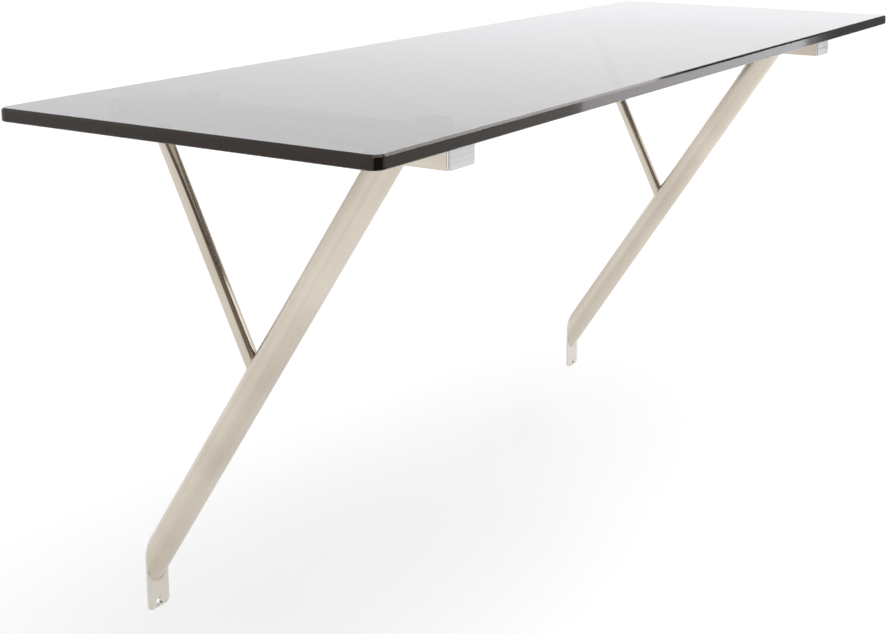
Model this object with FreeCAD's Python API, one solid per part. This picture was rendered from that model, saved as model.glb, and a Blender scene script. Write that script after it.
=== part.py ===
import FreeCAD, Part
import math
import os

# Wall-mounted desk: a smoked glass slab on two welded steel wall brackets.
# The wall is the plane Y = 0 and the desk reaches out along -Y. +X runs to the right
# of a person facing the wall, and +Z is up. The origin is on the wall, midway between
# the brackets, on the line of the upper screws. Lengths are in millimetres.

Vector = FreeCAD.Vector

# Glass slab
glass_length = 1524.0
glass_depth = 508.0
glass_thickness = 15.0
glass_corner_radius = 12.7
glass_upper_bevel = 2.5
glass_lower_arris = 1.0
glass_wall_gap = 2.0

# Glass end to the middle of the bracket, and glass front edge to the rail's front end
bracket_inset = 208.0
rail_setback = 43.0

# Rail: rectangular tube that carries the glass
rail_width = 50.0
rail_height = 25.0
rail_wall = 2.0
rail_outer_radius = 2.5
rail_inner_radius = 0.5

# End cap: plate on the rail's front end, with a hollow spigot inside the tube
cap_thickness = 3.0
cap_front_chamfer = 0.6
cap_joint_chamfer = 0.5
cap_spigot_length = 12.0
cap_spigot_wall = 1.5
cap_spigot_clearance = 0.2

# Strut: round tube from the wall up to the rail, placed by its axis.
# The setback runs back from the rail's front end, the rise up from the wall to the rail.
strut_diameter = 38.1
strut_wall = 2.0
strut_head_setback = 95.0
strut_rise = 561.5

# Brace: round tube from the rail down to a point along the strut, placed by its axis.
# The share counts from the strut's foot.
brace_diameter = 19.05
brace_wall = 1.5
brace_head_reach = 41.0
brace_joint_share = 0.49

# Plates that meet the wall, and their countersunk screw holes
plate_thickness = 3.0
screw_hole_diameter = 6.5
screw_head_diameter = 12.0
wall_plate_wing = 17.0
wall_plate_radius = 5.0
foot_plate_width = 36.0
foot_plate_radius = 7.0
foot_plate_tail = 36.0
foot_hole_margin = 7.0

# Standoff discs on the rail, and the thin pads between them and the glass
standoff_diameter = 40.0
standoff_height = 10.0
standoff_chamfer = 0.8
rear_standoff_reach = 110.0
front_standoff_setback = 35.0
pad_inset = 2.0
pad_thickness = 1.5

# How far a cutting shape runs past what it cuts
cut_overrun = 2.0

# Reaches out from the wall
glass_front_reach = glass_wall_gap + glass_depth
rail_reach = glass_front_reach - rail_setback
cap_reach = rail_reach - cap_thickness
strut_head_reach = rail_reach - strut_head_setback
front_standoff_reach = rail_reach - front_standoff_setback

# Levels, counted from the upper screws at half the rail's height
rail_top = rail_height / 2
rail_bottom = -rail_height / 2
standoff_top = rail_top + standoff_height
glass_bottom = standoff_top + pad_thickness
strut_foot_level = rail_bottom - strut_rise

# The strut's slope, and the ellipse that its cut end makes on the foot plate
strut_radius = strut_diameter / 2
strut_length = math.hypot(strut_head_reach, strut_rise)
strut_seat_level = strut_foot_level + plate_thickness * strut_rise / strut_head_reach
strut_seat_half_height = strut_radius * strut_length / strut_head_reach

# The brace's slope, down from the rail to the strut's axis
brace_radius = brace_diameter / 2
brace_run = brace_joint_share * strut_head_reach - brace_head_reach
brace_drop = strut_rise - brace_joint_share * strut_rise
brace_length = math.hypot(brace_run, brace_drop)


def rounded_rectangle(width, height, radius):
    """Closed wire in the XY plane, centred on the origin."""
    across = width / 2 - radius
    along = height / 2 - radius
    arcs = []
    for centre_x, centre_y, start in ((across, along, 0), (-across, along, 90),
                                      (-across, -along, 180), (across, -along, 270)):
        points = []
        for turn in (start, start + 45, start + 90):
            angle = math.radians(turn)
            points.append(Vector(centre_x + radius * math.cos(angle),
                                 centre_y + radius * math.sin(angle), 0))
        arcs.append(Part.Arc(*points))
    edges = []
    for arc, following in zip(arcs, arcs[1:] + arcs[:1]):
        edges.append(arc.toShape())
        edges.append(Part.LineSegment(arc.EndPoint, following.StartPoint).toShape())
    return Part.Wire(edges)


def prism(outline, depth, hole=None):
    """Solid that rises from the XY plane by depth, with an optional hole through it."""
    solid = Part.Face(outline).extrude(Vector(0, 0, depth))
    if hole is None:
        return solid
    return solid.cut(Part.Face(hole).extrude(Vector(0, 0, depth)))


def face_out(shape, reach, level):
    """Turns a prism to point out from the wall, its base at this reach and level."""
    shape.rotate(Vector(0, 0, 0), Vector(1, 0, 0), 90)
    shape.translate(Vector(0, -reach, level))
    return shape


def room_below_rail(half_width, near_reach, far_reach, depth):
    """Block under the rail's underside, between two reaches, that trims tubes."""
    corner = Vector(-half_width, -far_reach, rail_bottom - depth)
    return Part.makeBox(2 * half_width, far_reach - near_reach, depth, corner)


def countersunk_hole(across, level):
    """Cutting shape for one wall screw, its head let into the plate's front face."""
    hole_radius = screw_hole_diameter / 2
    head_radius = screw_head_diameter / 2
    start = Vector(across, -plate_thickness - cut_overrun, level)
    towards_wall = Vector(0, 1, 0)
    shank = Part.makeCylinder(hole_radius, plate_thickness + 2 * cut_overrun, start, towards_wall)
    head = Part.makeCone(head_radius + cut_overrun, hole_radius,
                         head_radius - hole_radius + cut_overrun, start, towards_wall)
    return shank.fuse(head)


def make_glass_top():
    """Slab with rounded plan corners, bevelled along its upper edges and eased below."""
    slab = prism(rounded_rectangle(glass_length, glass_depth, glass_corner_radius), glass_thickness)
    upper = max(slab.Faces, key=lambda face: face.CenterOfMass.z)
    slab = slab.makeChamfer(glass_upper_bevel, upper.Edges)
    lower = min(slab.Faces, key=lambda face: face.CenterOfMass.z)
    slab = slab.makeChamfer(glass_lower_arris, lower.Edges)
    slab.translate(Vector(0, glass_depth / 2 - glass_front_reach, glass_bottom))
    return slab


def make_rail():
    """Rectangular tube from the wall plate to the end cap."""
    outside = rounded_rectangle(rail_width, rail_height, rail_outer_radius)
    inside = rounded_rectangle(rail_width - 2 * rail_wall, rail_height - 2 * rail_wall,
                               rail_inner_radius)
    return face_out(prism(outside, cap_reach - plate_thickness, inside), plate_thickness, 0)


def make_rail_cap():
    """Plate over the rail's front end, with a spigot that plugs the tube."""
    plate = prism(rounded_rectangle(rail_width, rail_height, rail_outer_radius), cap_thickness)
    front = max(plate.Faces, key=lambda face: face.CenterOfMass.z)
    plate = plate.makeChamfer(cap_front_chamfer, front.Edges)
    joint = min(plate.Faces, key=lambda face: face.CenterOfMass.z)
    plate = plate.makeChamfer(cap_joint_chamfer, joint.Edges)
    narrowing = 2 * (rail_wall + cap_spigot_clearance)
    spigot_width = rail_width - narrowing
    spigot_height = rail_height - narrowing
    outside = rounded_rectangle(spigot_width, spigot_height, rail_inner_radius)
    inside = rounded_rectangle(spigot_width - 2 * cap_spigot_wall,
                               spigot_height - 2 * cap_spigot_wall, rail_inner_radius)
    spigot = prism(outside, cap_spigot_length, inside)
    spigot.translate(Vector(0, 0, -cap_spigot_length))
    return face_out(plate.fuse(spigot).removeSplitter(), cap_reach, 0)


def strut_rod(radius):
    """Full rod along the strut's axis, long enough to be trimmed at both ends."""
    axis = Vector(0, -strut_head_reach, strut_rise)
    axis.normalize()
    foot_slack = strut_radius * strut_rise / strut_head_reach + cut_overrun
    head_slack = strut_radius * strut_head_reach / strut_rise + cut_overrun
    start = Vector(0, 0, strut_foot_level) - axis * foot_slack
    return Part.makeCylinder(radius, foot_slack + strut_length + head_slack, start, axis)


def make_strut():
    """Round tube, mitred flat against the foot plate and the rail's underside."""
    tube = strut_rod(strut_radius).cut(strut_rod(strut_radius - strut_wall))
    head_half_depth = strut_radius * strut_length / strut_rise
    room = room_below_rail(strut_diameter, plate_thickness,
                           strut_head_reach + head_half_depth + cut_overrun,
                           strut_rise + strut_seat_half_height + cut_overrun)
    return tube.common(room)


def brace_rod(radius):
    """Full rod along the brace's axis, from above the rail's underside to the strut's axis."""
    axis = Vector(0, -brace_run, -brace_drop)
    axis.normalize()
    head_slack = brace_radius * brace_run / brace_drop + cut_overrun
    start = Vector(0, -brace_head_reach, rail_bottom) - axis * head_slack
    return Part.makeCylinder(radius, head_slack + brace_length, start, axis)


def make_brace():
    """Round tube, mitred to the rail and saddle cut to sit round the strut."""
    tube = brace_rod(brace_radius).cut(brace_rod(brace_radius - brace_wall))
    room = room_below_rail(brace_diameter, plate_thickness, strut_head_reach, strut_rise)
    return tube.common(room).cut(strut_rod(strut_radius))


def make_wall_plate():
    """Plate across the rail's rear end, with a screw hole in each wing."""
    width = rail_width + 2 * wall_plate_wing
    plate = face_out(prism(rounded_rectangle(width, rail_height, wall_plate_radius),
                           plate_thickness), 0, 0)
    hole_across = rail_width / 2 + wall_plate_wing / 2
    for across in (-hole_across, hole_across):
        plate = plate.cut(countersunk_hole(across, 0))
    return plate


def make_foot_plate():
    """Plate over the strut's cut end, ground flush with it, with one screw hole in its tail."""
    upper_edge = strut_foot_level + foot_plate_radius
    lower_edge = strut_seat_level - strut_seat_half_height - foot_plate_tail
    outline = rounded_rectangle(foot_plate_width, upper_edge - lower_edge, foot_plate_radius)
    tail = face_out(prism(outline, plate_thickness), 0, (upper_edge + lower_edge) / 2)
    head_top = strut_seat_level + strut_seat_half_height + cut_overrun
    blank = Part.makeBox(foot_plate_width, plate_thickness, head_top - strut_foot_level,
                         Vector(-foot_plate_width / 2, -plate_thickness, strut_foot_level))
    head = blank.common(strut_rod(strut_radius))
    plate = tail.fuse(head).removeSplitter()
    return plate.cut(countersunk_hole(0, lower_edge + foot_hole_margin))


def make_standoff(reach):
    """Disc welded on the rail, its upper rim chamfered."""
    radius = standoff_diameter / 2
    profile = (
        (0, 0),
        (radius, 0),
        (radius, standoff_height - standoff_chamfer),
        (radius - standoff_chamfer, standoff_height),
        (0, standoff_height),
        (0, 0),
    )
    outline = Part.makePolygon([Vector(across, 0, height) for across, height in profile])
    disc = Part.Face(outline).revolve(Vector(0, 0, 0), Vector(0, 0, 1), 360)
    disc.translate(Vector(0, -reach, rail_top))
    return disc


def make_pad(reach):
    """Thin disc on the standoff, a little smaller than it, that the glass rests on."""
    return Part.makeCylinder(standoff_diameter / 2 - pad_inset, pad_thickness,
                             Vector(0, -reach, standoff_top))


def make_bracket():
    """Pieces of one bracket by name, about the plane X = 0."""
    return {
        "rail": make_rail(),
        "rail_cap": make_rail_cap(),
        "wall_plate": make_wall_plate(),
        "strut": make_strut(),
        "brace": make_brace(),
        "foot_plate": make_foot_plate(),
        "rear_standoff": make_standoff(rear_standoff_reach),
        "front_standoff": make_standoff(front_standoff_reach),
        "rear_pad": make_pad(rear_standoff_reach),
        "front_pad": make_pad(front_standoff_reach),
    }


def main():
    """Writes one file per piece: the glass, then the two brackets."""
    os.makedirs("parts", exist_ok=True)
    make_glass_top().exportStep("parts/glass_top.step")
    bracket_offset = glass_length / 2 - bracket_inset
    for side, across in (("left", -bracket_offset), ("right", bracket_offset)):
        for name, piece in make_bracket().items():
            piece.translate(Vector(across, 0, 0))
            piece.exportStep(f"parts/{side}_{name}.step")


main()
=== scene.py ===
import logging
import math
from dataclasses import dataclass, field
from enum import Enum
from functools import cache
from typing import Any, Optional

import bpy
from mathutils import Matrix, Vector


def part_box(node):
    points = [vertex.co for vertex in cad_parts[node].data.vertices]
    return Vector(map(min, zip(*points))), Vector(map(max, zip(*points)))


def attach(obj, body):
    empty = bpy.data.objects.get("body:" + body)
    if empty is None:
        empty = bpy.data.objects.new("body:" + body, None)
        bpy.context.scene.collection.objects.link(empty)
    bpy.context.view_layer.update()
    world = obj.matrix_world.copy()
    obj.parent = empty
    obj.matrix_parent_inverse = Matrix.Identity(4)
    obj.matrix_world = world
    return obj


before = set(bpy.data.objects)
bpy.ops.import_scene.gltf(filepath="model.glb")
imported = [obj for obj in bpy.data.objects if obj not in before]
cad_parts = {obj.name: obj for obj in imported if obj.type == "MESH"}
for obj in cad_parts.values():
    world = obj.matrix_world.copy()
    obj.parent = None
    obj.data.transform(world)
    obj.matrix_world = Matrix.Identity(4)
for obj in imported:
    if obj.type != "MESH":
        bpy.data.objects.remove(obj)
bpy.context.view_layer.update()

LOG = logging.getLogger("wall_desk")
MM = 0.001
ROOT = "root"


def linear(hex_colour: str, alpha: float = 1.0) -> tuple[float, float, float, float]:
    """Turn an sRGB hex colour into the linear colour that the shaders take.

    Args:
        hex_colour: Six hex digits, with or without a leading #.
        alpha: Opacity of the colour.

    Returns:
        Linear red, green, blue and alpha.
    """
    digits = hex_colour.lstrip("#")
    channels = []
    for start in (0, 2, 4):
        value = int(digits[start:start + 2], 16) / 255
        channels.append(value / 12.92 if value <= 0.04045 else ((value + 0.055) / 1.055) ** 2.4)
    return channels[0], channels[1], channels[2], alpha


def add_node(tree: bpy.types.NodeTree, kind: str, inputs: Optional[dict[Any, Any]] = None,
             **settings: Any) -> bpy.types.Node:
    """Add a node with its settings, and fill or link its input sockets.

    Args:
        tree: The node tree that takes the node.
        kind: The node's Blender type name.
        inputs: Socket name or index to a value, or to an output socket that is linked.
        **settings: Properties of the node.

    Returns:
        The new node.
    """
    node = tree.nodes.new(kind)
    for name, value in settings.items():
        setattr(node, name, value)
    for name, value in (inputs or {}).items():
        if isinstance(value, bpy.types.NodeSocket):
            tree.links.new(value, node.inputs[name])
        else:
            node.inputs[name].default_value = value
    return node


def new_material(name: str) -> tuple[bpy.types.Material, bpy.types.NodeTree, bpy.types.Node]:
    """Start an empty node material.

    Args:
        name: The material's name.

    Returns:
        The material, its node tree and its output node.
    """
    material = bpy.data.materials.new(name)
    material.use_nodes = True
    tree = material.node_tree
    tree.nodes.clear()
    return material, tree, add_node(tree, "ShaderNodeOutputMaterial")


def dress(piece: bpy.types.Object, material: bpy.types.Material) -> None:
    """Give a piece one material in place of what it had."""
    piece.data.materials.clear()
    piece.data.materials.append(material)


def deselect_all() -> None:
    """Leave edit mode and deselect every object."""
    if bpy.context.mode != "OBJECT":
        bpy.ops.object.mode_set(mode="OBJECT")
    bpy.ops.object.select_all(action="DESELECT")


class Grain(Enum):
    """The way that the abrasive belt ran over a steel piece."""

    ACROSS = "across"
    OUT_FROM_WALL = "out_from_wall"
    UPRIGHT = "upright"
    ALONG_STRUT = "along_strut"
    ALONG_BRACE = "along_brace"
    TURNED = "turned"


@dataclass(frozen=True)
class BracketSizes:
    """Sizes of one bracket in millimetres, as in the solids."""

    rail_top: float = 12.5
    rail_bottom: float = -12.5
    plate_thickness: float = 3.0
    strut_radius: float = 19.05
    strut_head_reach: float = 372.0
    strut_rise: float = 561.5
    brace_radius: float = 9.525
    brace_head_reach: float = 41.0
    brace_joint_share: float = 0.49
    foot_plate_width: float = 36.0
    standoff_radius: float = 20.0

    @property
    def strut_length(self) -> float:
        """Length of the strut's axis from the wall to the rail."""
        return math.hypot(self.strut_head_reach, self.strut_rise)

    @property
    def strut_axis(self) -> Vector:
        """Direction of the strut, up and out from the wall."""
        return Vector((0, -self.strut_head_reach, self.strut_rise)).normalized()

    @property
    def strut_foot_level(self) -> float:
        """Level at which the strut's axis meets the wall."""
        return self.rail_bottom - self.strut_rise

    @property
    def brace_head(self) -> Vector:
        """Point at which the brace's axis meets the rail, about X = 0."""
        return Vector((0, -self.brace_head_reach, self.rail_bottom))

    @property
    def brace_joint(self) -> Vector:
        """Point at which the brace's axis meets the strut's axis, about X = 0."""
        share = self.brace_joint_share
        return Vector((0, -share * self.strut_head_reach,
                       self.strut_foot_level + share * self.strut_rise))

    @property
    def brace_axis(self) -> Vector:
        """Direction of the brace, down and out from the wall."""
        return (self.brace_joint - self.brace_head).normalized()


SIZES = BracketSizes()


@dataclass(frozen=True)
class SmokedGlass:
    """Grey float glass with ground and polished edges."""

    # The body tint deepens with the path, so the slab is dim from above and nearly
    # black along its edges. Polished faces mirror the room at a low angle.
    # The edges keep a trace of the polishing wheel, which softens what they mirror, and
    # what is mirrored head-on takes up a little of the body's brown.
    tint: str = "#FFFFFF"
    depth_colour: str = "#80756C"
    mirror_tint: str = "#F2DED2"
    absorption_per_metre: float = 165.0
    ior: float = 1.52
    smear_mm: float = 90.0
    smear_detail: float = 5.0
    smear_range: tuple[float, float] = (0.45, 0.75)
    roughness_clear: float = 0.0
    roughness_smeared: float = 0.035
    edge_tilt: float = 0.9
    roughness_edge: float = 0.04
    wave_mm: float = 160.0
    wave_height_mm: float = 0.01

    def build(self) -> bpy.types.Material:
        """Make the glass material.

        Returns:
            The material.
        """
        material, tree, output = new_material("smoked_float_glass_polished")
        place = add_node(tree, "ShaderNodeTexCoord").outputs["Object"]
        smear = add_node(tree, "ShaderNodeTexNoise",
                         {"Vector": place, "Scale": 1 / (self.smear_mm * MM),
                          "Detail": self.smear_detail})
        faces = add_node(tree, "ShaderNodeMapRange", {
            "Value": smear.outputs["Fac"],
            "From Min": self.smear_range[0], "From Max": self.smear_range[1],
            "To Min": self.roughness_clear, "To Max": self.roughness_smeared})
        facing = add_node(tree, "ShaderNodeNewGeometry").outputs["True Normal"]
        tilt = add_node(tree, "ShaderNodeSeparateXYZ", {"Vector": facing})
        level = add_node(tree, "ShaderNodeMath", {0: tilt.outputs["Z"]}, operation="ABSOLUTE")
        edge = add_node(tree, "ShaderNodeMath", {0: level.outputs["Value"], 1: self.edge_tilt},
                        operation="LESS_THAN")
        roughness = add_node(tree, "ShaderNodeMix", {
            0: edge.outputs["Value"], 2: faces.outputs["Result"], 3: self.roughness_edge},
            data_type="FLOAT")
        wave = add_node(tree, "ShaderNodeTexNoise",
                        {"Vector": place, "Scale": 1 / (self.wave_mm * MM), "Detail": 0.0})
        bump = add_node(tree, "ShaderNodeBump", {
            "Height": wave.outputs["Fac"], "Strength": 1.0,
            "Distance": self.wave_height_mm * MM})
        shader = add_node(tree, "ShaderNodeBsdfPrincipled", {
            "Base Color": linear(self.tint), "Roughness": roughness.outputs[0],
            "Normal": bump.outputs["Normal"], "IOR": self.ior, "Transmission Weight": 1.0,
            "Specular Tint": linear(self.mirror_tint)})
        depth = add_node(tree, "ShaderNodeVolumeAbsorption", {
            "Color": linear(self.depth_colour), "Density": self.absorption_per_metre})
        tree.links.new(shader.outputs["BSDF"], output.inputs["Surface"])
        tree.links.new(depth.outputs["Volume"], output.inputs["Volume"])
        return material


@dataclass(frozen=True)
class SatinSteel:
    """Stainless steel tube and plate, linished with a fine belt."""

    # A warm grey metal with soft streaks along the belt lines, which blur what it mirrors.
    # The real lines are near 0.1 mm wide. They are drawn wider, so that they show.
    name: str = "stainless_steel_linished"
    pale: str = "#DAD2C5"
    deep: str = "#C3B9AA"
    line_width_mm: float = 8.0
    line_length_mm: float = 900.0
    line_range: tuple[float, float] = (0.3, 0.7)
    line_strength: float = 0.5
    cloud_mm: float = 120.0
    streak_range: tuple[float, float] = (0.65, 1.35)
    pattern_detail: float = 2.0
    roughness_low: float = 0.22
    roughness_high: float = 0.32
    line_height_mm: float = 0.006

    def grain_turn(self, grain: Grain) -> tuple[float, float, float]:
        """Find the turn that lays the pattern's X axis along the belt lines.

        Args:
            grain: The way that the belt ran.

        Returns:
            Euler angles in radians.
        """
        directions = {
            Grain.ACROSS: Vector((1, 0, 0)),
            Grain.OUT_FROM_WALL: Vector((0, 1, 0)),
            Grain.UPRIGHT: Vector((0, 0, 1)),
            Grain.ALONG_STRUT: SIZES.strut_axis,
            Grain.ALONG_BRACE: SIZES.brace_axis,
        }
        along = directions[grain]
        level = math.hypot(along.x, along.y)
        return 0.0, math.atan2(-along.z, level), math.atan2(along.y, along.x)

    @cache
    def build(self, grain: Grain,
              centre: Optional[tuple[float, float, float]] = None) -> bpy.types.Material:
        """Make the steel material for one direction of the belt.

        Args:
            grain: The way that the belt ran.
            centre: Axis of a turned piece, in metres.

        Returns:
            The material.
        """
        material, tree, output = new_material(f"{self.name}_{grain.value}")
        place = add_node(tree, "ShaderNodeTexCoord").outputs["Object"]
        if grain is Grain.TURNED:
            middle = add_node(tree, "ShaderNodeMapping", {
                "Vector": place, "Location": centre, "Scale": (1, 1, 1)}, vector_type="TEXTURE")
            flat = add_node(tree, "ShaderNodeVectorMath",
                            {0: middle.outputs["Vector"], 1: (1, 1, 0)}, operation="MULTIPLY")
            radius = add_node(tree, "ShaderNodeVectorMath",
                              {0: flat.outputs["Vector"]}, operation="LENGTH")
            lines = add_node(tree, "ShaderNodeTexNoise", {
                "W": radius.outputs["Value"], "Scale": 1 / (self.line_width_mm * MM),
                "Detail": self.pattern_detail}, noise_dimensions="1D")
        else:
            laid = add_node(tree, "ShaderNodeMapping", {
                "Vector": place, "Rotation": self.grain_turn(grain),
                "Scale": (self.line_length_mm * MM, self.line_width_mm * MM,
                          self.line_width_mm * MM)}, vector_type="TEXTURE")
            lines = add_node(tree, "ShaderNodeTexNoise", {
                "Vector": laid.outputs["Vector"], "Scale": 1.0, "Detail": self.pattern_detail})
        clouds = add_node(tree, "ShaderNodeTexNoise", {
            "Vector": place, "Scale": 1 / (self.cloud_mm * MM), "Detail": self.pattern_detail})
        both = add_node(tree, "ShaderNodeMath",
                        {0: lines.outputs["Fac"], 1: clouds.outputs["Fac"]}, operation="ADD")
        share = add_node(tree, "ShaderNodeMapRange", {
            "Value": both.outputs["Value"],
            "From Min": self.streak_range[0], "From Max": self.streak_range[1]})
        colour = add_node(tree, "ShaderNodeMix", {
            0: share.outputs["Result"], 6: linear(self.deep), 7: linear(self.pale)},
            data_type="RGBA")
        roughness = add_node(tree, "ShaderNodeMapRange", {
            "Value": lines.outputs["Fac"],
            "From Min": self.line_range[0], "From Max": self.line_range[1],
            "To Min": self.roughness_low, "To Max": self.roughness_high})
        bump = add_node(tree, "ShaderNodeBump", {
            "Height": lines.outputs["Fac"], "Strength": self.line_strength,
            "Distance": self.line_height_mm * MM})
        shader = add_node(tree, "ShaderNodeBsdfPrincipled", {
            "Base Color": colour.outputs[2], "Roughness": roughness.outputs["Result"],
            "Normal": bump.outputs["Normal"], "Metallic": 1.0})
        tree.links.new(shader.outputs["BSDF"], output.inputs["Surface"])
        return material


@dataclass(frozen=True)
class GroundWeld:
    """Fillet weld in stainless steel, ground and polished by hand."""

    # The same metal as the tubes, with uneven facets from the hand grinder.
    pale: str = "#E0D9CD"
    deep: str = "#C7BDAE"
    facet_mm: float = 2.2
    facet_height_mm: float = 0.12
    facet_strength: float = 0.4
    roughness_low: float = 0.26
    roughness_high: float = 0.42

    @cache
    def build(self) -> bpy.types.Material:
        """Make the weld material.

        Returns:
            The material.
        """
        material, tree, output = new_material("stainless_steel_ground_weld")
        place = add_node(tree, "ShaderNodeTexCoord").outputs["Object"]
        facets = add_node(tree, "ShaderNodeTexVoronoi",
                          {"Vector": place, "Scale": 1 / (self.facet_mm * MM)}, feature="SMOOTH_F1")
        colour = add_node(tree, "ShaderNodeMix", {
            0: facets.outputs["Distance"], 6: linear(self.pale), 7: linear(self.deep)},
            data_type="RGBA")
        roughness = add_node(tree, "ShaderNodeMapRange", {
            "Value": facets.outputs["Distance"],
            "To Min": self.roughness_low, "To Max": self.roughness_high})
        bump = add_node(tree, "ShaderNodeBump", {
            "Height": facets.outputs["Distance"], "Strength": self.facet_strength,
            "Distance": self.facet_height_mm * MM})
        shader = add_node(tree, "ShaderNodeBsdfPrincipled", {
            "Base Color": colour.outputs[2], "Roughness": roughness.outputs["Result"],
            "Normal": bump.outputs["Normal"], "Metallic": 1.0})
        tree.links.new(shader.outputs["BSDF"], output.inputs["Surface"])
        return material


@dataclass(frozen=True)
class PadRubber:
    """Black EPDM rubber, die cut from sheet."""

    # A dull near-black with a faint grey bloom and a fine moulded tooth.
    black: str = "#191817"
    bloom: str = "#2C2A28"
    bloom_mm: float = 9.0
    bloom_detail: float = 4.0
    roughness_low: float = 0.65
    roughness_high: float = 0.9
    tooth_mm: float = 0.6
    tooth_height_mm: float = 0.03
    tooth_strength: float = 0.5
    ior: float = 1.52

    @cache
    def build(self) -> bpy.types.Material:
        """Make the rubber material.

        Returns:
            The material.
        """
        material, tree, output = new_material("epdm_rubber_die_cut")
        place = add_node(tree, "ShaderNodeTexCoord").outputs["Object"]
        bloom = add_node(tree, "ShaderNodeTexNoise", {
            "Vector": place, "Scale": 1 / (self.bloom_mm * MM), "Detail": self.bloom_detail})
        colour = add_node(tree, "ShaderNodeMix", {
            0: bloom.outputs["Fac"], 6: linear(self.black), 7: linear(self.bloom)},
            data_type="RGBA")
        roughness = add_node(tree, "ShaderNodeMapRange", {
            "Value": bloom.outputs["Fac"],
            "To Min": self.roughness_low, "To Max": self.roughness_high})
        tooth = add_node(tree, "ShaderNodeTexNoise",
                         {"Vector": place, "Scale": 1 / (self.tooth_mm * MM), "Detail": 1.0})
        bump = add_node(tree, "ShaderNodeBump", {
            "Height": tooth.outputs["Fac"], "Strength": self.tooth_strength,
            "Distance": self.tooth_height_mm * MM})
        shader = add_node(tree, "ShaderNodeBsdfPrincipled", {
            "Base Color": colour.outputs[2], "Roughness": roughness.outputs["Result"],
            "Normal": bump.outputs["Normal"], "IOR": self.ior})
        tree.links.new(shader.outputs["BSDF"], output.inputs["Surface"])
        return material


@dataclass
class GlassTop:
    """The smoked slab, which keeps its CAD solid."""

    node: str = "glass_top"
    finish: SmokedGlass = field(default_factory=SmokedGlass)

    def build(self) -> list[bpy.types.Object]:
        """Dress the slab and return it."""
        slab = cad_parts[self.node]
        dress(slab, self.finish.build())
        return [slab]


class Side(Enum):
    """Which bracket, seen by a person facing the wall."""

    LEFT = "left"
    RIGHT = "right"


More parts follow.
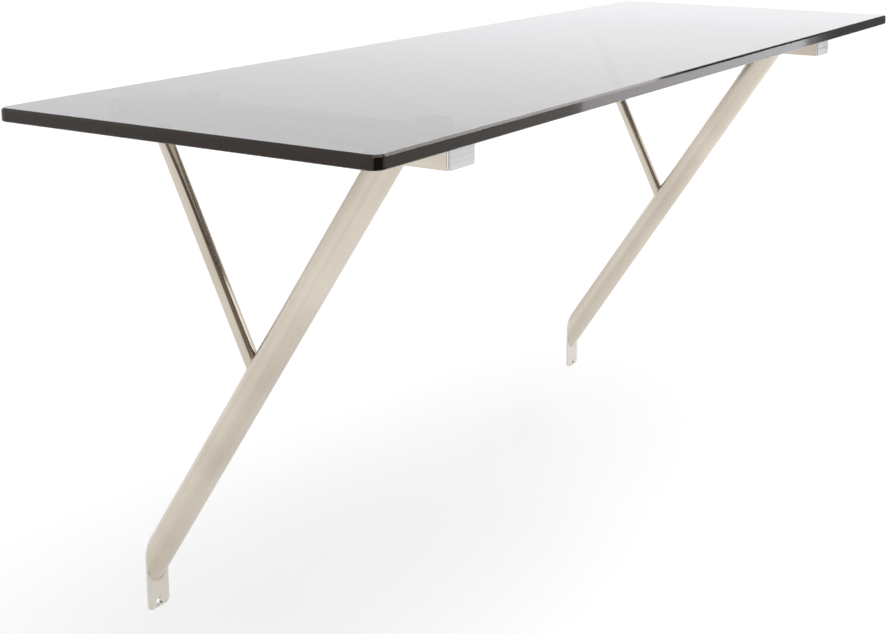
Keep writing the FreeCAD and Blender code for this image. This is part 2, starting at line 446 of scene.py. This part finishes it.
@dataclass
class WeldSeams:
    """The weld seams of one bracket, modelled once about X = 0 and then copied."""

    bead_radius_mm: float = 1.0
    bead_steps: int = 3
    loop_steps: int = 72
    foot_weld_share: float = 0.9
    former_fineness: int = 4
    former_share: float = 0.5
    clear_radii: float = 3.0
    join_distance: float = 1e-6
    masters: dict[str, bpy.types.Object] = field(default_factory=dict)

    def round_loop(self, radius_mm: float, point: Vector,
                   turn: tuple[float, float, float] = (0, 0, 0),
                   stretch: tuple[float, float, float] = (1, 1, 1)) -> bpy.types.Object:
        """Add a circle of edges and stretch it to the cut end of a round piece.

        Args:
            radius_mm: The round piece's radius.
            point: Middle of the loop, in millimetres.
            turn: Euler angles of the circle, in radians.
            stretch: Scale along the frame's X, Y and Z about the middle.

        Returns:
            The loop.
        """
        deselect_all()
        bpy.ops.mesh.primitive_circle_add(vertices=self.loop_steps, radius=radius_mm * MM,
                                          fill_type="NOTHING", location=point * MM, rotation=turn)
        loop = bpy.context.view_layer.objects.active
        bpy.ops.object.mode_set(mode="EDIT")
        bpy.ops.mesh.select_all(action="SELECT")
        bpy.ops.transform.resize(value=stretch, orient_type="GLOBAL", center_override=point * MM)
        bpy.ops.object.mode_set(mode="OBJECT")
        return loop

    def finish_bead(self, loop: bpy.types.Object, name: str) -> None:
        """Turn a loop of edges into a round bead of weld and keep it as a master.

        Args:
            loop: A mesh of edges that follows the joint.
            name: The seam's name without the side.
        """
        deselect_all()
        loop.select_set(True)
        bpy.context.view_layer.objects.active = loop
        bpy.ops.object.transform_apply(location=True, rotation=True, scale=True)
        bpy.ops.object.convert(target="CURVE")
        seam = bpy.context.view_layer.objects.active
        seam.data.bevel_depth = self.bead_radius_mm * MM
        seam.data.bevel_resolution = self.bead_steps
        seam.data.use_fill_caps = True
        bpy.ops.object.convert(target="MESH")
        seam = bpy.context.view_layer.objects.active
        bpy.ops.object.mode_set(mode="EDIT")
        bpy.ops.mesh.select_all(action="SELECT")
        bpy.ops.mesh.remove_doubles(threshold=self.join_distance)
        bpy.ops.mesh.normals_make_consistent(inside=False)
        bpy.ops.object.mode_set(mode="OBJECT")
        bpy.ops.object.shade_smooth()
        self.masters[name] = seam

    def weld_strut(self) -> None:
        """Weld the strut's ends to the rail's underside and to the foot plate."""
        head = Vector((0, -SIZES.strut_head_reach, SIZES.rail_bottom))
        self.finish_bead(self.round_loop(
            SIZES.strut_radius, head,
            stretch=(1, SIZES.strut_length / SIZES.strut_rise, 1)), "strut_head_weld")
        slope = SIZES.strut_rise / SIZES.strut_head_reach
        seat = Vector((0, -SIZES.plate_thickness,
                       SIZES.strut_foot_level + SIZES.plate_thickness * slope))
        loop = self.round_loop(
            SIZES.strut_radius, seat, (math.radians(90), 0, 0),
            (1, 1, SIZES.strut_length / SIZES.strut_head_reach))
        half_width = self.foot_weld_share * SIZES.foot_plate_width / 2
        bpy.ops.object.mode_set(mode="EDIT")
        for side in (-1, 1):
            bpy.ops.mesh.select_all(action="SELECT")
            bpy.ops.mesh.bisect(plane_co=(side * half_width * MM, 0, 0),
                                plane_no=(side, 0, 0), clear_outer=True)
        bpy.ops.mesh.select_all(action="SELECT")
        bpy.ops.mesh.bisect(plane_co=seat * MM, plane_no=(0, 0, 1), clear_outer=True)
        bpy.ops.object.mode_set(mode="OBJECT")
        self.finish_bead(loop, "foot_weld")

    def weld_brace(self) -> None:
        """Weld the brace's ends to the rail's underside and round the strut."""
        axis = SIZES.brace_axis
        self.finish_bead(self.round_loop(
            SIZES.brace_radius, SIZES.brace_head,
            stretch=(1, 1 / abs(axis.z), 1)), "brace_head_weld")
        deselect_all()
        bpy.ops.mesh.primitive_cylinder_add(
            vertices=self.former_fineness * self.loop_steps, radius=SIZES.strut_radius * MM,
            depth=self.former_share * SIZES.strut_length * MM, location=SIZES.brace_joint * MM,
            rotation=SIZES.strut_axis.to_track_quat("Z", "Y").to_euler())
        former = bpy.context.view_layer.objects.active
        clear = SIZES.brace_joint - axis * self.clear_radii * SIZES.strut_radius
        loop = self.round_loop(SIZES.brace_radius, clear, axis.to_track_quat("Z", "Y").to_euler())
        wrap = loop.modifiers.new("saddle", "SHRINKWRAP")
        wrap.target = former
        wrap.wrap_method = "PROJECT"
        wrap.use_project_x = False
        wrap.use_project_y = False
        wrap.use_project_z = True
        wrap.use_positive_direction = True
        wrap.use_negative_direction = False
        bpy.ops.object.modifier_apply(modifier=wrap.name)
        bpy.data.objects.remove(former)
        self.finish_bead(loop, "brace_joint_weld")

    def weld_standoff(self) -> None:
        """Weld a standoff to the rail's upper face, about the Z axis."""
        self.finish_bead(self.round_loop(
            SIZES.standoff_radius, Vector((0, 0, SIZES.rail_top))), "standoff_weld")

    def build(self) -> None:
        """Model every seam once."""
        self.weld_strut()
        self.weld_brace()
        self.weld_standoff()

    def copy(self, name: str, shift: Vector) -> bpy.types.Object:
        """Copy a seam with its own mesh and move the copy.

        Args:
            name: The seam's name without the side.
            shift: The move, in metres.

        Returns:
            The copy.
        """
        deselect_all()
        self.masters[name].select_set(True)
        bpy.context.view_layer.objects.active = self.masters[name]
        bpy.ops.object.duplicate(linked=False)
        bpy.ops.transform.translate(value=shift)
        bpy.ops.object.transform_apply(location=True, rotation=False, scale=False)
        return bpy.context.view_layer.objects.active

    def clear_away(self) -> None:
        """Remove the seams that the copies were taken from."""
        for master in self.masters.values():
            bpy.data.objects.remove(master)
        self.masters.clear()


@dataclass
class Bracket:
    """One welded bracket: its CAD pieces' finishes and its weld seams."""

    side: Side
    steel: SatinSteel = SatinSteel()
    # Polished tube, which mirrors the room in narrow bands along its length.
    brace_steel: SatinSteel = SatinSteel(
        name="stainless_steel_polished", roughness_low=0.11, roughness_high=0.17,
        line_height_mm=0.002)
    # Finely ground cap, cooler and smoother than the rail behind it.
    cap_steel: SatinSteel = SatinSteel(
        name="stainless_steel_fine_ground", pale="#E2E4E6", deep="#D2D5D8", line_width_mm=1.5,
        roughness_low=0.08, roughness_high=0.13)
    # Sheet with closer lines, painted paler and greyer than the tubes: a painted reflection of the
    # brighter surroundings that the plates mirror.
    painted_reflection_plate_steel: SatinSteel = SatinSteel(
        name="stainless_steel_linished_sheet", pale="#E0DBD4", deep="#D2CCC3", line_width_mm=3.0)
    weld: GroundWeld = GroundWeld()
    rubber: PadRubber = PadRubber()

    def node(self, name: str) -> bpy.types.Object:
        """Find one of this bracket's CAD nodes by its plain name."""
        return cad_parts[f"{self.side.value}_{name}"]

    def middle(self, name: str) -> Vector:
        """Find the middle of one of this bracket's CAD nodes, in metres."""
        low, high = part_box(f"{self.side.value}_{name}")
        return (low + high) / 2

    def dress_nodes(self) -> list[bpy.types.Object]:
        """Give each CAD piece its finish.

        Returns:
            The CAD pieces.
        """
        grains = {
            "rail": Grain.OUT_FROM_WALL,
            "rail_cap": Grain.ACROSS,
            "wall_plate": Grain.ACROSS,
            "strut": Grain.ALONG_STRUT,
            "brace": Grain.ALONG_BRACE,
            "foot_plate": Grain.UPRIGHT,
        }
        # The foot and wall plates take the sheet steel, whose paler colour is a painted reflection.
        finishes = {"brace": self.brace_steel, "rail_cap": self.cap_steel,
                    "foot_plate": self.painted_reflection_plate_steel, "wall_plate": self.painted_reflection_plate_steel}
        materials = {name: finishes.get(name, self.steel).build(grain)
                     for name, grain in grains.items()}
        for name in ("front_standoff", "rear_standoff"):
            materials[name] = self.steel.build(Grain.TURNED, tuple(self.middle(name)))
        for name in ("front_pad", "rear_pad"):
            materials[name] = self.rubber.build()
        for name, material in materials.items():
            dress(self.node(name), material)
        return [self.node(name) for name in materials]

    def add_seams(self, seams: WeldSeams) -> list[bpy.types.Object]:
        """Copy the weld seams to this bracket's joints.

        Args:
            seams: The seams, modelled about X = 0.

        Returns:
            The copies.
        """
        across = Vector((self.middle("rail").x, 0, 0))
        copies = {name: seams.copy(name, across) for name in (
            "strut_head_weld", "foot_weld", "brace_head_weld", "brace_joint_weld")}
        for name in ("front_standoff", "rear_standoff"):
            shift = self.middle(name).to_2d().to_3d()
            copies[f"{name}_weld"] = seams.copy("standoff_weld", shift)
        for name, seam in copies.items():
            seam.name = f"{self.side.value}_{name}"
            dress(seam, self.weld.build())
            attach(seam, ROOT)
        return list(copies.values())

    def build(self, seams: WeldSeams) -> list[bpy.types.Object]:
        """Dress the CAD pieces, add the weld seams and return them all."""
        return self.dress_nodes() + self.add_seams(seams)


@dataclass(frozen=True)
class Softbox:
    """One soft studio lamp."""

    name: str
    place: tuple[float, float, float]
    aim: tuple[float, float, float]
    size: tuple[float, float]
    watts: float
    colour: str

    def build(self) -> None:
        """Add the lamp, turned to its aim."""
        data = bpy.data.lights.new(self.name, "AREA")
        data.shape = "RECTANGLE"
        data.size, data.size_y = self.size
        data.energy = self.watts
        data.color = linear(self.colour)[:3]
        lamp = bpy.data.objects.new(self.name, data)
        bpy.context.scene.collection.objects.link(lamp)
        lamp.location = self.place
        away = Vector(self.place) - Vector(self.aim)
        lamp.rotation_euler = away.to_track_quat("Z", "Y").to_euler()
        lamp.visible_camera = False


@dataclass(frozen=True)
class Limit:
    """A soft border of a side of the studio, by how far a ray points along a direction."""

    direction: tuple[float, float, float]
    outside: float
    inside: float


@dataclass(frozen=True)
class DarkSide:
    """A darker side of the studio, which only shows mirrored in the object."""

    colour: str
    limits: tuple[Limit, ...]

    def share(self, tree: bpy.types.NodeTree, way: bpy.types.NodeSocket) -> bpy.types.NodeSocket:
        """Find how far a ray points to this side.

        Args:
            tree: The node tree that takes the nodes.
            way: The ray's direction.

        Returns:
            A socket that is 1 inside the side and 0 outside it.
        """
        shares = []
        for limit in self.limits:
            towards = add_node(tree, "ShaderNodeVectorMath", {0: way, 1: limit.direction},
                               operation="DOT_PRODUCT")
            inside = add_node(tree, "ShaderNodeMapRange", {
                "Value": towards.outputs["Value"],
                "From Min": limit.outside, "From Max": limit.inside},
                interpolation_type="SMOOTHSTEP")
            shares.append(inside.outputs["Result"])
        whole = shares[0]
        for other in shares[1:]:
            whole = add_node(tree, "ShaderNodeMath", {0: whole, 1: other},
                             operation="MULTIPLY").outputs["Value"]
        return whole


UP = (0.0, 0.0, 1.0)
DOWN = (0.0, 0.0, -1.0)
RIGHT = (1.0, 0.0, 0.0)
WINDOW_SIDES = (Limit((0.332, 0.943, 0.0), -0.004, 0.012), Limit((0.139, -0.99, 0.0), -0.02, 0.06))


@dataclass
class Studio:
    """Pale floor, soft light and the camera."""

    white: str = "#FFFFFF"
    floor_level: float = -0.70
    floor_size: tuple[float, float] = (40.0, 24.0)
    floor_front: float = -2.2
    floor_pale: str = "#F4F4F4"
    floor_grey: str = "#EDEDED"
    floor_cloud_mm: float = 900.0
    floor_white_near: float = 0.5
    floor_white_far: float = 0.68
    floor_near: float = 1.0
    floor_far: float = 4.5
    ambient: float = 0.42
    dark_sides: tuple[DarkSide, ...] = (
        # Grey skirting along the front
        DarkSide("#EAE8E6", (Limit((-0.3, -0.954, 0.0), 0.15, 0.3), Limit(DOWN, 0.0, 0.1))),
        # Unlit room at the front left
        DarkSide("#80776F", (Limit((-0.326, -0.946, 0.0), 0.68, 0.80),)),
        # Wall under the window and over it
        DarkSide("#8E8C8A", (*WINDOW_SIDES, Limit(DOWN, 0.03, 0.07))),
        DarkSide("#8E8C8A", (*WINDOW_SIDES, Limit(UP, 0.22, 0.27), Limit(DOWN, -0.43, -0.4))),
        # Dimmer backdrop at the rear left
        DarkSide("#EDEDEE", (Limit((-0.6, 0.8, 0.0), -0.2, 0.23), Limit(RIGHT, 0.0, 0.3))),
    )
    camera_place: tuple[float, float, float] = (-1.8196, -1.2821, 0.2968)
    camera_turn_degrees: tuple[float, float, float] = (78.524, -0.1, -58.0)
    camera_lens: float = 59.95
    camera_shift: tuple[float, float] = (-0.044, -0.172)
    lamps: tuple[Softbox, ...] = (
        Softbox("overhead_softbox", (-0.4, -1.2, 2.3), (0, -0.3, 0), (2.6, 2.0), 24.0, "#FFFFFF"),
        Softbox("window_softbox", (2.89, -1.75, -0.25), (2.89, 0, -0.25), (1.88, 0.85), 9.5,
                "#F2F5FF"),
        Softbox("high_softbox", (3.458, -0.684, 2.347), (-0.142, -0.284, 0.247), (2.0, 1.15), 18.0,
                "#FFFFFF"),
        Softbox("front_strip", (0.7, -2.05, 0.83), (-0.554, -0.15, -0.2), (0.4, 1.0), 1.6,
                "#EEF3FF"),
        Softbox("wall_softbox", (2.6, 1.5, 0.75), (-1.8, -1.28, 0.2), (4.4, 1.9), 13.4,
                "#F4F8FF"),
    )

    def seen_ray(self, tree: bpy.types.NodeTree) -> bpy.types.NodeSocket:
        """Find rays that show the background: camera, glossy and transmission rays.

        Args:
            tree: The node tree that takes the nodes.

        Returns:
            A socket that is 1 for those rays and 0 for the rest.
        """
        path = add_node(tree, "ShaderNodeLightPath")
        mirrored = add_node(tree, "ShaderNodeMath", {
            0: path.outputs["Is Camera Ray"], 1: path.outputs["Is Glossy Ray"]},
            operation="MAXIMUM")
        seen = add_node(tree, "ShaderNodeMath", {
            0: mirrored.outputs["Value"], 1: path.outputs["Is Transmission Ray"]},
            operation="MAXIMUM")
        return seen.outputs["Value"]

    def build_world(self) -> None:
        """Light the scene evenly, with a white background and darker sides in mirrored rays."""
        world = bpy.data.worlds.new("studio_white")
        bpy.context.scene.world = world
        world.use_nodes = True
        tree = world.node_tree
        tree.nodes.clear()
        way = add_node(tree, "ShaderNodeTexCoord").outputs["Object"]
        path = add_node(tree, "ShaderNodeLightPath")
        mirrored = add_node(tree, "ShaderNodeMath", {0: path.outputs["Glossy Depth"], 1: 1.0},
                            operation="MINIMUM")
        around = linear(self.white)
        for side in self.dark_sides:
            around = add_node(tree, "ShaderNodeMix", {
                0: side.share(tree, way), 6: around, 7: linear(side.colour)},
                data_type="RGBA").outputs[2]
        colour = add_node(tree, "ShaderNodeMix", {
            0: mirrored.outputs["Value"], 6: linear(self.white), 7: around}, data_type="RGBA")
        soft = add_node(tree, "ShaderNodeBackground",
                        {"Color": linear(self.white), "Strength": self.ambient})
        white = add_node(tree, "ShaderNodeBackground",
                         {"Color": colour.outputs[2], "Strength": 1.0})
        mix = add_node(tree, "ShaderNodeMixShader", {
            0: self.seen_ray(tree), 1: soft.outputs["Background"], 2: white.outputs["Background"]})
        add_node(tree, "ShaderNodeOutputWorld", {"Surface": mix.outputs["Shader"]})

    def build_floor(self) -> None:
        """Lay the pale floor, which keeps the desk's shadow."""
        deselect_all()
        wide, deep = self.floor_size
        bpy.ops.mesh.primitive_plane_add(
            size=1.0, location=(0, self.floor_front + deep / 2, self.floor_level))
        floor = bpy.context.view_layer.objects.active
        floor.scale = (wide, deep, 1)
        bpy.ops.object.transform_apply(location=True, rotation=True, scale=True)
        floor.name = "floor"
        material, tree, output = new_material("painted_floor_matt")
        place = add_node(tree, "ShaderNodeTexCoord").outputs["Object"]
        cloud = add_node(tree, "ShaderNodeTexNoise",
                         {"Vector": place, "Scale": 1 / (self.floor_cloud_mm * MM)})
        colour = add_node(tree, "ShaderNodeMix", {
            0: cloud.outputs["Fac"], 6: linear(self.floor_grey), 7: linear(self.floor_pale)},
            data_type="RGBA")
        matt = add_node(tree, "ShaderNodeBsdfDiffuse", {"Color": colour.outputs[2]})
        distance = add_node(tree, "ShaderNodeVectorMath", {0: place}, operation="LENGTH")
        glow = add_node(tree, "ShaderNodeMapRange", {
            "Value": distance.outputs["Value"],
            "From Min": self.floor_near, "From Max": self.floor_far,
            "To Min": self.floor_white_near, "To Max": self.floor_white_far},
            interpolation_type="SMOOTHSTEP")
        share = add_node(tree, "ShaderNodeMath", {
            0: self.seen_ray(tree), 1: glow.outputs["Result"]}, operation="MULTIPLY")
        white = add_node(tree, "ShaderNodeEmission",
                         {"Color": linear(self.white), "Strength": share.outputs["Value"]})
        both = add_node(tree, "ShaderNodeAddShader",
                        {0: matt.outputs["BSDF"], 1: white.outputs["Emission"]})
        tree.links.new(both.outputs["Shader"], output.inputs["Surface"])
        dress(floor, material)

    def build_camera(self) -> None:
        """Set the camera at the photograph's angle."""
        data = bpy.data.cameras.new("photo_camera")
        data.lens = self.camera_lens
        data.shift_x, data.shift_y = self.camera_shift
        camera = bpy.data.objects.new("photo_camera", data)
        bpy.context.scene.collection.objects.link(camera)
        camera.location = self.camera_place
        camera.rotation_euler = [math.radians(angle) for angle in self.camera_turn_degrees]
        bpy.context.scene.camera = camera

    def build(self) -> None:
        """Set up the background, the lamps and the camera."""
        bpy.context.scene.view_settings.view_transform = "Standard"
        self.build_world()
        self.build_floor()
        for lamp in self.lamps:
            lamp.build()
        self.build_camera()


def main() -> None:
    """Dress the glass, build both brackets, set up the studio and report each piece."""
    logging.basicConfig(level=logging.INFO, format="%(name)s: %(message)s")
    pieces = GlassTop().build()
    seams = WeldSeams()
    seams.build()
    for side in Side:
        pieces += Bracket(side).build(seams)
    seams.clear_away()
    Studio().build()
    for piece in pieces:
        LOG.info("%s: %s, %d faces", piece.name, piece.data.materials[0].name,
                 len(piece.data.polygons))


if __name__ == "__main__":
    main()
